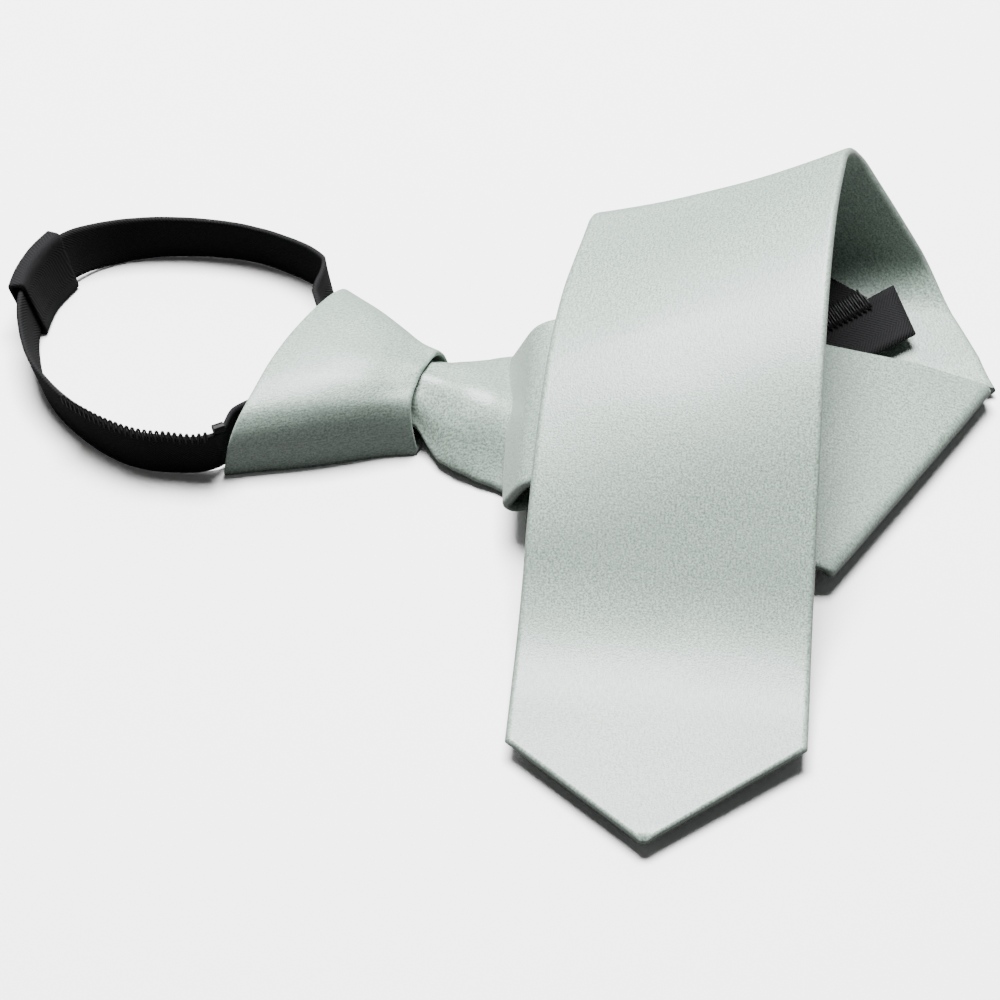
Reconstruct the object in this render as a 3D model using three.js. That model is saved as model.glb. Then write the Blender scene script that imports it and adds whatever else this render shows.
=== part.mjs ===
// A boy's pre-tied zip necktie, laid down with its blade folded up.
// Millimetres, +Z up, standing on z = 0, the open side of the neck loop at -X.

import * as THREE from 'three';
import { mergeVertices } from 'three/addons/utils/BufferGeometryUtils.js';

// ---- driving dimensions ---------------------------------------------------
const CLOTH = 2.8;           // thickness of the padded blade
const ROLL_EDGE = 0.9;       // how far the blade's rolled edge tapers in
const TAPE_WIDTH = 12.5;     // half tape of a size 3 coil zip
const TAPE = 1.0;            // its thickness
const COIL = 2.0;            // width of one side's coil teeth
const COIL_HEIGHT = 1.3;     // how far they stand off the tape
const SEAT = 0.3;            // clearance between pieces that touch
const CENTRE = { x: 0.09, y: -7.47 };  // middle of the laid-out tie

// ---- the blade: one strip, laid by its folds --------------------------------
// Where the strip leaves the knot, and how it points (degrees).
const START = { x: -12.2, y: 20.7, z: 9.0, heading: -14.5, pitch: -6.2 };
const BEFORE = 8;            // length that stays inside the knot

// Each row is a fold: where it sits along the middle of the strip, how far its
// line is skewed from square, how far it turns (+ towards the face), its radius.
const FOLDS = [
  { name: 'droop', at: 6.4, skew: -0.4, turn: -9.7, radius: 25 },
  { name: 'level', at: 21.4, skew: 1.9, turn: 20, radius: 25 },
  { name: 'under_turn', at: 33.1, skew: 9.8, turn: 178.3, radius: 1.7 },
  { name: 'back_fold', at: 49.8, skew: 7.3, turn: -113.3, radius: 2.1 },
  { name: 'rise_over', at: 66.1, skew: 3.3, turn: -75, radius: 7.4 },
  { name: 'arch', at: 98.8, skew: -30, turn: -13.4, radius: 40 },
  { name: 'crease', at: 149, skew: -29.5, turn: -158.7, radius: 1.6 },
  { name: 'lift', at: 180.7, skew: 16, turn: -18.4, radius: 25 },
  { name: 'roll_a', at: 213.6, skew: 30, turn: -66.9, radius: 10.1 },
  { name: 'roll_b', at: 238.2, skew: 6.3, turn: -50.6, radius: 9.8 },
  { name: 'roll_c', at: 248.9, skew: 11.7, turn: -38.6, radius: 8.1 },
  { name: 'slope', at: 297.6, skew: 21.3, turn: -46.9, radius: 80 },
  { name: 'settle', at: 361.5, skew: -2, turn: 36.9, radius: 48 },
];
// Width of the strip along its length, to the corners of the pointed end.
const WIDTHS = [
  { at: -8, width: 21 },
  { at: -4, width: 22.6 },
  { at: -1, width: 25.8 },
  { at: 2, width: 31 },
  { at: 6, width: 36 },
  { at: 12, width: 40.5 },
  { at: 20, width: 43.2 },
  { at: 60, width: 43.3 },
  { at: 148, width: 59.8 },
  { at: 231, width: 56.5 },
  { at: 371, width: 60.8 },
];
// How far the strip curls across its width, face out, where the knot gathers it,
// and how far it is drawn aside there.
const CURLS = [
  { at: -8, curl: 150, shift: -2.6 },
  { at: -4, curl: 154, shift: -2.6 },
  { at: -1, curl: 152, shift: -2.4 },
  { at: 2, curl: 136, shift: -2 },
  { at: 6, curl: 108, shift: -1.7 },
  { at: 10, curl: 82, shift: -1.9 },
  { at: 15, curl: 54, shift: -2.2 },
  { at: 24, curl: 0, shift: -2.2 },
  { at: 34, curl: 0, shift: -1.8 },
  { at: 50, curl: 0, shift: -0.4 },
  { at: 62, curl: 0, shift: 1 },
  { at: 74, curl: 0, shift: 0.8 },
  { at: 92, curl: 0, shift: 0 },
];
// How far the cloth bows along the way its face looks, at its two edges and middle,
// and how far its left edge is drawn out past the straight strip.
const BOWS = [
  { at: 150, left: 0, middle: 0, right: 0, out: 0 },
  { at: 168, left: 1.2, middle: 0.4, right: 0, out: 1.7 },
  { at: 186, left: 2.4, middle: 0.6, right: 0, out: 4.4 },
  { at: 206, left: 2.8, middle: 0.8, right: 0, out: 4.6 },
  { at: 222, left: 1.6, middle: -0.6, right: -0.8, out: 2.6 },
  { at: 238, left: 0.2, middle: -2.6, right: -1.8, out: 0.3 },
  { at: 252, left: -0.2, middle: -3, right: -2.2, out: 0 },
  { at: 270, left: 0, middle: -1.2, right: -0.8, out: 0 },
  { at: 292, left: 0, middle: 0, right: 0, out: 0 },
];
const CORNER = { at: 383.6, lead: 1.6 };   // the pointed end's two corners
const TIP = { reach: 23.8, aside: 1.0, blunt: 1.2 };

// ---- the knot: a hollow sleeve, a row per section ----------------------------
// x, y the middle of the section on the table, turn its plan angle, half its
// half width, top the height of its crown, wall the cloth there, back how far
// its crown leans back from the plane of its foot, cut how far its near wall is
// cut back from the mouth.
const KNOT = [
  { x: -46.9, y: 31.8, turn: 62.2, half: 28, top: 18.4, wall: 1.3, back: 0, cut: 2.3 },
  { x: -40.6, y: 30, turn: 63.5, half: 24.4, top: 19.4, wall: 1.5, back: 0, cut: 1.4 },
  { x: -33.6, y: 28.1, turn: 65, half: 20.8, top: 19.6, wall: 1.6, back: 0, cut: 0.6 },
  { x: -26.6, y: 26.5, turn: 66.8, half: 17, top: 18.6, wall: 1.5, back: 0.3, cut: 0.2 },
  { x: -20.2, y: 25.2, turn: 68.6, half: 13.7, top: 16.9, wall: 1.3, back: 1.2, cut: 0 },
  { x: -14.2, y: 24.1, turn: 70.2, half: 11.9, top: 15.5, wall: 1.1, back: 2.4, cut: 0 },
];
// The crown's outline: across from the near side to the far side, and up.
const CROWN = [
  { across: 0, up: 0, cut: 0 },
  { across: 0.004, up: 0.28, cut: 0.28 },
  { across: 0.016, up: 0.55, cut: 0.55 },
  { across: 0.045, up: 0.75, cut: 0.75 },
  { across: 0.1, up: 0.9, cut: 0.88 },
  { across: 0.2, up: 0.98, cut: 0.8 },
  { across: 0.36, up: 1, cut: 0.5 },
  { across: 0.52, up: 0.985, cut: 0.35 },
  { across: 0.68, up: 0.93, cut: 0.35 },
  { across: 0.83, up: 0.81, cut: 0.35 },
  { across: 0.94, up: 0.6, cut: 0.3 },
  { across: 1, up: 0, cut: 0 },
];

// ---- the neck loop: two half tapes standing on edge -----------------------------
// x, y the lower edge in plan, foot its height off the table, lean how far the
// upper edge leans outwards.
const NEAR_TAPE = [
  { x: -37, y: 18.8, foot: 2.4, lean: -6 },
  { x: -44, y: 17.3, foot: 2.2, lean: -10 },
  { x: -51, y: 15.1, foot: 2, lean: -11 },
  { x: -56.6, y: 12.7, foot: 1.7, lean: -6 },
  { x: -60.8, y: 9.1, foot: 0.8, lean: 7 },
  { x: -65.6, y: 8.2, foot: 0, lean: 7 },
  { x: -71, y: 8.2, foot: 0, lean: 4 },
  { x: -76.5, y: 8.9, foot: 0, lean: 4 },
  { x: -81.8, y: 11, foot: 0, lean: 4 },
  { x: -87.6, y: 14.8, foot: 0, lean: 5 },
  { x: -92.7, y: 19.5, foot: 0, lean: 7 },
  { x: -97.4, y: 25.5, foot: 0, lean: 9 },
  { x: -101.1, y: 32.4, foot: 0, lean: 12 },
  { x: -103.2, y: 40.2, foot: 0.2, lean: 13 },
  { x: -104, y: 47, foot: 0.9, lean: 14 },
  { x: -103.5, y: 53, foot: 1.3, lean: 14.5 },
  { x: -102.4, y: 57.7, foot: 1.3, lean: 14.5 },
];
const FAR_TAPE = [
  { x: -101.8, y: 59.3, foot: 1.3, lean: 14.5 },
  { x: -99.8, y: 63.4, foot: 1.3, lean: 14.5 },
  { x: -96.2, y: 67.8, foot: 0.8, lean: 12 },
  { x: -91.2, y: 71.1, foot: 0.1, lean: 8 },
  { x: -83.3, y: 74, foot: 0, lean: 1 },
  { x: -74.1, y: 75.1, foot: 0, lean: -3 },
  { x: -64.8, y: 74.6, foot: 0, lean: -5 },
  { x: -55.4, y: 72.7, foot: 0, lean: -7 },
  { x: -48.2, y: 69.4, foot: 0, lean: -6 },
  { x: -42.6, y: 65.4, foot: 0.3, lean: -4 },
  { x: -38.8, y: 61.2, foot: 1, lean: -5 },
  { x: -37.1, y: 56.2, foot: 1.7, lean: -14 },
  { x: -37.1, y: 50.2, foot: 2.1, lean: -21 },
  { x: -36.2, y: 43, foot: 2.4, lean: -16 },
  { x: -34, y: 34.6, foot: 2.6, lean: -6 },
];
// The back sleeve over the joined ends of the tapes.
const TAB = [
  { x: -104, y: 49.8, foot: 0, lean: 14.5 },
  { x: -103, y: 55.2, foot: 0, lean: 14.5 },
  { x: -101.1, y: 60.2, foot: 0, lean: 14.5 },
  { x: -98, y: 65.4, foot: 0, lean: 13.5 },
];
const TAB_HEIGHT = 15.5;     // it stands proud of the tapes' upper edges
const TAB_WALL = 1.0;
const TAB_DEPTH = 4.7;       // over the tapes, past the ends of their coils
const TAB_SHIFT = 0.1;       // its middle lies this far outside the tapes
// The coils, by station along their tapes, and how they stand to the upper edge.
const NEAR_COIL = { from: 13, to: 35, proud: 1.6 };
const FAR_COIL = { from: 6, to: 34, shy: 1.8 };
// The slider where the loop closes, inside the knot.
const SLIDER = { x: -32.6, y: 21.6, z: 2.9, turn: 10, length: 8.4, mouth: 6.4, heel: 4.0, height: 4.4 };
// The stop on the near tape, where it goes into the knot.
const STOP = { station: 11, radius: 1.1, width: 2.4, side: 0.0 };


// ---- the tail of the closed zip ---------------------------------------------------
// x, y, z the middle of the tapes, width across both, roll its sideways tilt.
const TAIL = [
  { x: -27.0, y: 21.5, z: 3.3,  width: 11.0, roll: 0 },
  { x: -14.0, y: 21.2, z: 3.1,  width: 11.0, roll: 0 },
  { x: -4.0,  y: 19.6, z: 1.7,  width: 13.0, roll: 0 },
  { x: 6.0,   y: 18.4, z: 0.9,  width: 15.0, roll: 0 },
  { x: 25.0,  y: 20.0, z: 0.9,  width: 16.0, roll: 0 },
  { x: 37.5,  y: 25.6, z: 5.4,  width: 18.0, roll: 8 },
  { x: 48.0,  y: 31.2, z: 8.2,  width: 22.0, roll: 13 },
  { x: 60.0,  y: 37.6, z: 9.0,  width: 25.0, roll: 15 },
  { x: 71.0,  y: 42.5, z: 10.6, width: 24.0, roll: 17 },
  { x: 81.8,  y: 48.6, z: 12.4, width: 25.0, roll: 20 },
];

const TAIL_ENDS = { near: { inner: 6.8, outer: 4.8 }, far: { inner: 0, outer: -7.0 } };

// ---- helpers ------------------------------------------------------------------------
const rad = (d) => (d * Math.PI) / 180;
const V = (x, y, z) => new THREE.Vector3(x, y, z);
const look = (rows, key, at, out) => {
  if (at <= rows[0][key]) return rows[0][out];
  for (let i = 1; i < rows.length; i++) {
    if (at <= rows[i][key]) {
      const t = (at - rows[i - 1][key]) / (rows[i][key] - rows[i - 1][key]);
      return rows[i - 1][out] * (1 - t) + rows[i][out] * t;
    }
  }
  return rows[rows.length - 1][out];
};

// A closed body from rings of points, all of one count, joined in order.
function loft(rings) {
  const n = rings[0].length;
  const pos = [];
  const idx = [];
  for (const ring of rings) for (const p of ring) pos.push(p.x, p.y, p.z);
  for (let i = 0; i + 1 < rings.length; i++) {
    for (let j = 0; j < n; j++) {
      const a = i * n + j, b = i * n + ((j + 1) % n), c = a + n, d = b + n;
      idx.push(a, b, d, a, d, c);
    }
  }
  // ends: the ring's two chains face each other across the section
  const cap = (base, flip) => {
    let lo = 0, hi = n - 1;
    while (lo + 1 < hi || lo + 1 === hi) {
      const tri = [base + lo, base + hi, base + lo + 1];
      if (lo + 1 < hi) {
        const t2 = [base + lo + 1, base + hi, base + hi - 1];
        idx.push(...(flip ? tri : [tri[0], tri[2], tri[1]]));
        if (lo + 1 < hi - 1) idx.push(...(flip ? t2 : [t2[0], t2[2], t2[1]]));
      }
      lo += 1; hi -= 1;
    }
  };
  cap(0, true);
  cap((rings.length - 1) * n, false);
  const g = new THREE.BufferGeometry();
  g.setAttribute('position', new THREE.Float32BufferAttribute(pos, 3));
  g.setIndex(idx);
  return outward(g);
}

// Turns a closed body's faces outwards if its signed volume says they face in.
function outward(g) {
  const p = g.attributes.position, ix = g.index.array;
  let vol = 0;
  const a = V(), b = V(), c = V();
  for (let i = 0; i < ix.length; i += 3) {
    a.fromBufferAttribute(p, ix[i]); b.fromBufferAttribute(p, ix[i + 1]); c.fromBufferAttribute(p, ix[i + 2]);
    vol += a.dot(b.cross(c));
  }
  if (vol < 0) {
    for (let i = 0; i < ix.length; i += 3) { const t = ix[i]; ix[i] = ix[i + 1]; ix[i + 1] = t; }
  }
  g.computeVertexNormals();
  return g;
}

// ---- the strip ------------------------------------------------------------------------
const halfWidth = (s) => look(WIDTHS, 'at', s, 'width') / 2;

// The two ends, on the strip's flat pattern, of a line across it.
function across(at, skew) {
  const k = Math.tan(rad(skew));
  return [-1, 1].map((side) => {
    let v = side * halfWidth(at);
    for (let i = 0; i < 6; i++) v = side * halfWidth(at + v * k);
    return { s: at + v * k, v };
  });
}

// Lays the flat pattern through the folds; gives every line across as its two
// ends and the direction that the face looks.
function layStrip() {
  const h = rad(START.heading), p = rad(START.pitch);
  let H = V(Math.cos(h) * Math.cos(p), Math.sin(h) * Math.cos(p), Math.sin(p));
  let W = V(Math.sin(h), -Math.cos(h), 0);
  let N = W.clone().cross(H);
  let O = V(START.x, START.y, START.z);
  const lines = [];
  const put = (ends, place, normal) => lines.push({
    ends, left: place(ends[0]), right: place(ends[1]), face: normal.clone(), H: H.clone(),
  });
  const flat = (a, b, count) => {
    const place = (e) => O.clone().addScaledVector(H, e.s).addScaledVector(W, e.v);
    for (let i = lines.length ? 1 : 0; i <= count; i++) {
      const t = i / count;
      const ends = [0, 1].map((k) => {
        const s = a[k].s * (1 - t) + b[k].s * t;
        return { s, v: (k ? 1 : -1) * halfWidth(s) };
      });
      put(ends, place, N);
    }
  };
  let last = across(-BEFORE, 0);
  for (const f of FOLDS) {
    const k = rad(f.skew), th = Math.abs(rad(f.turn)), sg = Math.sign(f.turn);
    const L = f.radius * th, half = L / 2 / Math.cos(k);
    const first = across(f.at - half, f.skew);
    flat(last, first, f.name === 'droop' ? 4 : 3);
    const E = H.clone().multiplyScalar(Math.cos(k)).addScaledVector(W, -Math.sin(k));
    const A = H.clone().multiplyScalar(Math.sin(k)).addScaledVector(W, Math.cos(k));
    const N0 = N.clone(), O0 = O.clone(), H0 = H.clone();
    const bent = (q, c) => {
      const phi = (q + L / 2) / f.radius;
      return O0.clone().addScaledVector(H0, f.at).addScaledVector(A, c)
        .addScaledVector(E, f.radius * Math.sin(phi) - L / 2)
        .addScaledVector(N0, sg * f.radius * (1 - Math.cos(phi)));
    };
    const steps = Math.max(2, Math.ceil(Math.abs(f.turn) / 22));
    for (let i = 1; i <= steps; i++) {
      const t = i / steps, phi = th * t;
      const ends = across(f.at - half + 2 * half * t, f.skew);
      const place = (e) => {
        const q = (e.s - f.at) * Math.cos(k) - e.v * Math.sin(k);
        const c = (e.s - f.at) * Math.sin(k) + e.v * Math.cos(k);
        return bent(q, c);
      };
      const normal = N0.clone().multiplyScalar(Math.cos(phi)).addScaledVector(E, -sg * Math.sin(phi));
      put(ends, place, normal);
    }
    const E2 = E.clone().multiplyScalar(Math.cos(th)).addScaledVector(N0, sg * Math.sin(th));
    N = N0.clone().multiplyScalar(Math.cos(th)).addScaledVector(E, -sg * Math.sin(th));
    const D = bent(L / 2, 0);
    H = E2.clone().multiplyScalar(Math.cos(k)).addScaledVector(A, Math.sin(k));
    W = E2.clone().multiplyScalar(-Math.sin(k)).addScaledVector(A, Math.cos(k));
    O = D.addScaledVector(E2, -L / 2).addScaledVector(H, -f.at);
    last = across(f.at + half, f.skew);
  }
  // on to the corners, and the pointed end
  const left = { s: CORNER.at - CORNER.lead, v: -halfWidth(CORNER.at) };
  const right = { s: CORNER.at + CORNER.lead, v: halfWidth(CORNER.at) };
  const place = (e) => O.clone().addScaledVector(H, e.s).addScaledVector(W, e.v);
  for (let i = 1; i <= 2; i++) {
    const t = i / 2;
    put([0, 1].map((k) => {
      const end = k ? right : left;
      const s = last[k].s * (1 - t) + end.s * t;
      return { s, v: t === 1 ? end.v : (k ? 1 : -1) * halfWidth(s) };
    }), place, N);
  }
  const tip = { s: CORNER.at + TIP.reach, v: TIP.aside };
  for (const t of [0.25, 0.5, 0.75, 1 - TIP.blunt / halfWidth(CORNER.at)]) {
    put([left, right].map((e) => ({ s: e.s * (1 - t) + tip.s * t, v: e.v * (1 - t) + tip.v * t })), place, N);
  }
  return lines;
}

// The cloth's section on one line across: rolled edges, and the curl by the knot.
function clothRing(line, thick) {
  const dir = line.right.clone().sub(line.left);
  const w = dir.length();
  dir.normalize();
  const s = (line.ends[0].s + line.ends[1].s) / 2;
  const mid = line.left.clone().add(line.right).multiplyScalar(0.5)
    .addScaledVector(dir, look(CURLS, 'at', s, 'shift'));
  const curl = rad(look(CURLS, 'at', s, 'curl'));
  const [b0, b1, b2] = ['left', 'middle', 'right'].map((k) => look(BOWS, 'at', s, k));
  const out = look(BOWS, 'at', s, 'out');
  const drawn = (v) => v - out * Math.max(0, (-v * 2) / w) ** 2;
  const bow = (v) => {
    const t = (v * 2) / w;
    return b1 + (t * (b2 - b0)) / 2 + t * t * ((b0 + b2) / 2 - b1);
  };
  const e = Math.min(ROLL_EDGE, w * 0.3);
  const cols = [-w / 2 + e, -w * 0.24, 0, w * 0.24, w / 2 - e];
  const spot = (v, up) => {
    if (curl < 0.02) return mid.clone().addScaledVector(dir, drawn(v)).addScaledVector(line.face, up + bow(v));
    const r = w / curl, a = v / r, sag = r * (1 - Math.cos(curl / 2));
    return mid.clone()
      .addScaledVector(dir, (r + up) * Math.sin(a))
      .addScaledVector(line.face, (r + up) * Math.cos(a) - r + sag / 2);
  };
  return [
    spot(-w / 2, 0), ...cols.map((v) => spot(v, thick / 2)), spot(w / 2, 0),
    ...cols.slice().reverse().map((v) => spot(v, -thick / 2)),
  ];
}

// ---- the knot ---------------------------------------------------------------------------
function knotRing(row, inset) {
  const a = rad(row.turn);
  const dir = V(Math.cos(a), Math.sin(a), 0);
  const base = V(row.x, row.y, 0);
  const half = row.half - inset;
  const pts = CROWN.map((c) => base.clone()
    .addScaledVector(dir, (c.across * 2 - 1) * half)
    .add(V(0, 0, inset + c.up * (row.top - 2 * inset)))
    .addScaledVector(V(Math.sin(a), -Math.cos(a), 0), row.cut * c.cut - row.back * c.up));
  return pts;
}
// A sleeve open at both ends, from matching outer and inner rings.
function sleeve(outer, inner) {
  const m = outer.length, n = outer[0].length;
  const pos = [], idx = [];
  for (const ring of [...outer, ...inner]) for (const p of ring) pos.push(p.x, p.y, p.z);
  const at = (layer, i, j) => layer * n * m + i * n + (j % n);
  for (let i = 0; i + 1 < m; i++) {
    for (let j = 0; j < n; j++) {
      let a = at(0, i, j), b = at(0, i, j + 1), c = at(0, i + 1, j), d = at(0, i + 1, j + 1);
      idx.push(a, d, b, a, c, d);
      a = at(1, i, j); b = at(1, i, j + 1); c = at(1, i + 1, j); d = at(1, i + 1, j + 1);
      idx.push(a, b, d, a, d, c);
    }
  }
  for (let j = 0; j < n; j++) {
    let a = at(0, 0, j), b = at(0, 0, j + 1), c = at(1, 0, j), d = at(1, 0, j + 1);
    idx.push(a, b, d, a, d, c);
    a = at(0, m - 1, j); b = at(0, m - 1, j + 1); c = at(1, m - 1, j); d = at(1, m - 1, j + 1);
    idx.push(a, d, b, a, c, d);
  }
  const g = new THREE.BufferGeometry();
  g.setAttribute('position', new THREE.Float32BufferAttribute(pos, 3));
  g.setIndex(idx);
  return outward(g);
}

// ---- tapes on edge --------------------------------------------------------------------------
// Smooths a table of stations into even stations along a curve.
function stations(rows, count) {
  const curve = new THREE.CatmullRomCurve3(rows.map((r) => V(r.x, r.y, r.foot)), false, 'centripetal');
  const out = [];
  for (let i = 0; i <= count; i++) {
    const t = i / count;
    const p = curve.getPoint(t), d = curve.getTangent(t).setZ(0).normalize();
    p.z = Math.max(p.z, 0);
    const f = t * (rows.length - 1), k = Math.min(Math.floor(f), rows.length - 2);
    const lean = rows[k].lean * (1 - (f - k)) + rows[k + 1].lean * (f - k);
    out.push({ p, out: V(d.y, -d.x, 0).negate(), lean });
  }
  return out;
}
// A leaning station's place: u up its slope from the foot, s outwards across it.
function leaning({ p, out, lean }) {
  const a = rad(lean);
  const up = out.clone().multiplyScalar(Math.sin(a)).add(V(0, 0, Math.cos(a)));
  const side = out.clone().multiplyScalar(Math.cos(a)).add(V(0, 0, -Math.sin(a)));
  const foot = p.clone().add(V(0, 0, Math.abs(Math.sin(a)) * (TAPE / 2) + 0.02));
  return (u, s) => foot.clone().addScaledVector(up, u).addScaledVector(side, s);
}
// A band of a leaning tape: from low to high up the slope, from near to off across it.
function leaningBand(list, low, high, near, off) {
  return loft(list.map((st) => {
    const spot = leaning(st);
    return [spot(low, near), spot(low, off), spot(high, off), spot(high, near)];
  }));
}
// The back sleeve: a box section that leans with the tapes and stands on the table.
function backTab() {
  const list = stations(TAB, 8);
  const ring = (inset) => list.map((st) => {
    const a = rad(st.lean), d = TAB_DEPTH / 2 - inset;
    const up = st.out.clone().multiplyScalar(Math.sin(a)).add(V(0, 0, Math.cos(a)));
    const side = st.out.clone().multiplyScalar(Math.cos(a)).add(V(0, 0, -Math.sin(a)));
    const shift = TAB_SHIFT;
    const low = (s) => {  // the lower corners lie flat on the table
      const p = st.p.clone().addScaledVector(side, s + shift);
      return p.addScaledVector(up, (inset - p.z) / up.z);
    };
    const high = (s) => st.p.clone().addScaledVector(side, s + shift).addScaledVector(up, TAB_HEIGHT - inset);
    return [low(-d), low(d), high(d), high(-d)];
  });
  return sleeve(ring(0), ring(TAB_WALL));
}

// ---- the closed tail --------------------------------------------------------------------------
// Even stations along the tail, with the direction along it, across it and up.
function tailStations(count) {
  const curve = new THREE.CatmullRomCurve3(TAIL.map((r) => V(r.x, r.y, r.z)), false, 'centripetal');
  const out = [];
  for (let i = 0; i <= count; i++) {
    const t = i / count, f = t * (TAIL.length - 1), k = Math.min(Math.floor(f), TAIL.length - 2);
    const mix = (key) => TAIL[k][key] * (1 - (f - k)) + TAIL[k + 1][key] * (f - k);
    const along = curve.getTangent(t), r = rad(mix('roll'));
    const flat = V(along.y, -along.x, 0).normalize();
    const up = flat.clone().cross(along).normalize();
    const right = flat.multiplyScalar(Math.cos(r)).addScaledVector(up, -Math.sin(r));
    out.push({ p: curve.getPoint(t), along, right, up: right.clone().cross(along).normalize(), width: mix('width') });
  }
  return out;
}
// One half tape of the tail; side 1 is the near half. Its cut end is splayed.
function tailHalf(side) {
  const list = tailStations(26), end = TAIL_ENDS[side > 0 ? 'near' : 'far'];
  const rings = list.map((st, i) => {
    const last = i === list.length - 1;
    const spot = (v, h, reach) => st.p.clone().addScaledVector(st.right, v * side)
      .addScaledVector(st.up, h).addScaledVector(st.along, last ? reach : 0);
    const a = SEAT / 2, b = st.width / 2, h = TAPE / 2;
    return [spot(a, -h, end.inner), spot(b, -h, end.outer), spot(b, h, end.outer), spot(a, h, end.inner)];
  });
  return loft(rings);
}
function tailCoil() {
  const list = tailStations(26);
  return loft(list.map((st) => {
    const spot = (v, h) => st.p.clone().addScaledVector(st.right, v).addScaledVector(st.up, h);
    const w = COIL, lo = TAPE / 2 + SEAT, hi = lo + COIL_HEIGHT;
    return [spot(-w, lo), spot(w, lo), spot(w * 0.7, hi), spot(-w * 0.7, hi)];
  }));
}

// The slider's plain body: a wedge, broad at its mouth and narrow at its heel.
function sliderBody() {
  const shape = new THREE.Shape();
  const { length, mouth, heel } = SLIDER;
  shape.moveTo(-length / 2, -mouth / 2);
  shape.lineTo(length / 2, -heel / 2);
  shape.lineTo(length / 2, heel / 2);
  shape.lineTo(-length / 2, mouth / 2);
  shape.closePath();
  const g = new THREE.ExtrudeGeometry(shape, {
    depth: SLIDER.height - 1, bevelEnabled: true, bevelThickness: 0.5, bevelSize: 0.5, bevelSegments: 1,
  });
  g.translate(0, 0, 0.5);
  return outward(closed(g));
}
// The end stop: a small rounded clip on the upper edge of the near tape.
function stopBody() {
  const g = new THREE.CylinderGeometry(STOP.radius, STOP.radius, STOP.width, 10, 1);
  g.rotateZ(Math.PI / 2);  // its length along the tape's edge
  return outward(closed(g));
}
function closed(g) {
  g.deleteAttribute('normal');
  g.deleteAttribute('uv');
  return mergeVertices(g, 1e-4);
}

// ---- colours ---------------------------------------------------------------------------------
const satin = () => new THREE.MeshStandardMaterial({ color: 0xc3cfc9, roughness: 0.45, metalness: 0 });
const black = () => new THREE.MeshStandardMaterial({ color: 0x121212, roughness: 0.85, metalness: 0 });
const coil = () => new THREE.MeshStandardMaterial({ color: 0x161616, roughness: 0.5, metalness: 0 });
const enamel = () => new THREE.MeshStandardMaterial({ color: 0x1a1a1a, roughness: 0.35, metalness: 0.3 });

const group = new THREE.Group();
const body = (name, geometry, material) => {
  const mesh = new THREE.Mesh(geometry, material);
  mesh.name = name;
  group.add(mesh);
  return mesh;
};

body('blade', loft(layStrip().map((l) => clothRing(l, CLOTH))), satin());
body('knot_shell', sleeve(KNOT.map((r) => knotRing(r, 0)), KNOT.map((r) => knotRing(r, r.wall))), satin());

const near = stations(NEAR_TAPE, 44), far = stations(FAR_TAPE, 44);
body('zip_tape_near', leaningBand(near, 0, TAPE_WIDTH, -TAPE / 2, TAPE / 2), black());
body('zip_tape_far', leaningBand(far, 0, TAPE_WIDTH, -TAPE / 2, TAPE / 2), black());
// the coil rides on each tape's outer face; its heads stand past the near tape's edge
const coilOut = TAPE / 2 + SEAT;
body('zip_teeth_near', leaningBand(near.slice(NEAR_COIL.from, NEAR_COIL.to), TAPE_WIDTH - COIL + NEAR_COIL.proud,
  TAPE_WIDTH + NEAR_COIL.proud, coilOut, coilOut + COIL_HEIGHT), coil());
body('zip_teeth_far', leaningBand(far.slice(FAR_COIL.from, FAR_COIL.to), TAPE_WIDTH - COIL - FAR_COIL.shy,
  TAPE_WIDTH - FAR_COIL.shy, coilOut, coilOut + COIL_HEIGHT), coil());
body('back_tab', backTab(), black());

body('zip_tail_near', tailHalf(1), black());
body('zip_tail_far', tailHalf(-1), black());
body('zip_tail_teeth', tailCoil(), coil());

const slider = body('zip_slider', sliderBody(), enamel());
slider.position.set(SLIDER.x, SLIDER.y, SLIDER.z);
slider.rotation.z = rad(SLIDER.turn);

const stop = body('zip_stop', stopBody(), enamel());
const seat = near[STOP.station];
stop.position.copy(leaning(seat)(TAPE_WIDTH + SEAT + STOP.radius, STOP.side));
stop.rotation.z = Math.atan2(seat.out.y, seat.out.x) - Math.PI / 2;

group.position.set(-CENTRE.x, -CENTRE.y, 0);
export default group;
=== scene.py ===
# A boy's pre-tied zip necktie: silver-green satin, padded and folded up, with a
# black zip-tape loop. Metres, +Z up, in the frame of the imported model.
import math

import bpy
import numpy as np
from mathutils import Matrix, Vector, noise


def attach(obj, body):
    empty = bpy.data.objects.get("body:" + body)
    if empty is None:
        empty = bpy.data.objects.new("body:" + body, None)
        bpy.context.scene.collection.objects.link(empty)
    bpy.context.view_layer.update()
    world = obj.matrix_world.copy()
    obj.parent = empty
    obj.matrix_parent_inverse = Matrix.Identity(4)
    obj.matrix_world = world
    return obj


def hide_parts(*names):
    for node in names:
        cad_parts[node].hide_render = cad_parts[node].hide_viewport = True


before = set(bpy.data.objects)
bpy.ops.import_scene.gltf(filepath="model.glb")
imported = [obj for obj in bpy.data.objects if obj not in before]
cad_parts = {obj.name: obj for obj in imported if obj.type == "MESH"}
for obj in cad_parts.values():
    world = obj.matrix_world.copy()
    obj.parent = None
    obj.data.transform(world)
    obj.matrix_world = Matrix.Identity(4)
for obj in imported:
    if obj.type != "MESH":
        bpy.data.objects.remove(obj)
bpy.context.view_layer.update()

MM = 0.001

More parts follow.
